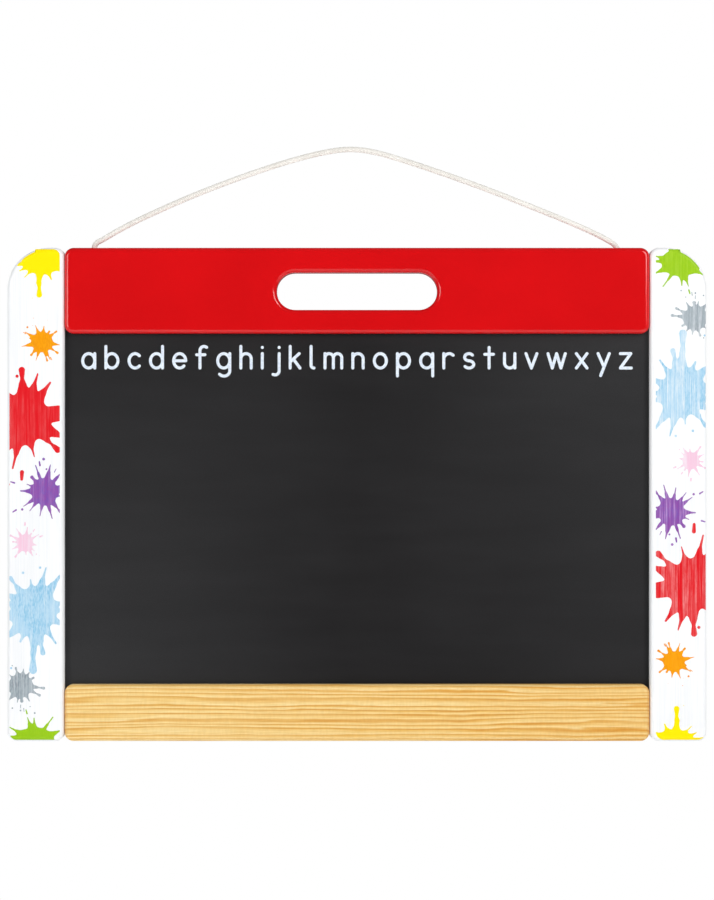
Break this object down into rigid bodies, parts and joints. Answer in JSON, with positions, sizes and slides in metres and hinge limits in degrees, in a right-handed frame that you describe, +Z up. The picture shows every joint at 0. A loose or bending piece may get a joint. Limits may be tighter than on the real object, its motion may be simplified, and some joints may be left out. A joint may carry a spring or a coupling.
{
  "type": "kids easel",
  "caption": "Child's framed drawing board with a hand slot, a chalkboard front and a white magnetic back, hung from a cord loop.",
  "frame": {"origin": "the point on the cord's underside where a hook carries it, straight above the middle of the board", "axes": "+X along the board's width to the viewer's right, +Z up, the chalkboard front faces -Y"},
  "size_m": [0.45, 0.015, 0.3818],
  "materials": {
    "white_lacquer": "satin white paint over wood with a printed splash pattern",
    "red_lacquer": "glossy red lacquer over wood",
    "pine": "clear satin varnish over pine",
    "chalkboard": "matt chalkboard paint over fibreboard",
    "white_steel": "glossy white enamel",
    "beech": "plain turned beech",
    "cotton_cord": "braided off-white cotton"
  },
  "bodies": {
    "cord": {"hanging_cord": "cotton_cord"},
    "board": {"left_rail": "white_lacquer", "right_rail": "white_lacquer", "top_rail": "red_lacquer", "bottom_rail": "pine", "chalkboard_panel": "chalkboard", "whiteboard_sheet": "white_steel", "dowel_top_left_outer": "beech", "dowel_top_left_inner": "beech", "dowel_top_right_outer": "beech", "dowel_top_right_inner": "beech", "dowel_bottom_left_outer": "beech", "dowel_bottom_left_inner": "beech", "dowel_bottom_right_outer": "beech", "dowel_bottom_right_inner": "beech", "cord_tail_left": "cotton_cord", "cord_tail_right": "cotton_cord", "knot_left": "cotton_cord", "knot_right": "cotton_cord"}
  },
  "joints": [
    {"name": "board_swing", "type": "hinge", "parent": "cord", "child": "board", "pos_m": [0, 0, -0.0607], "axis": [1, 0, 0], "range_deg": [-45, 45]}
  ]
}
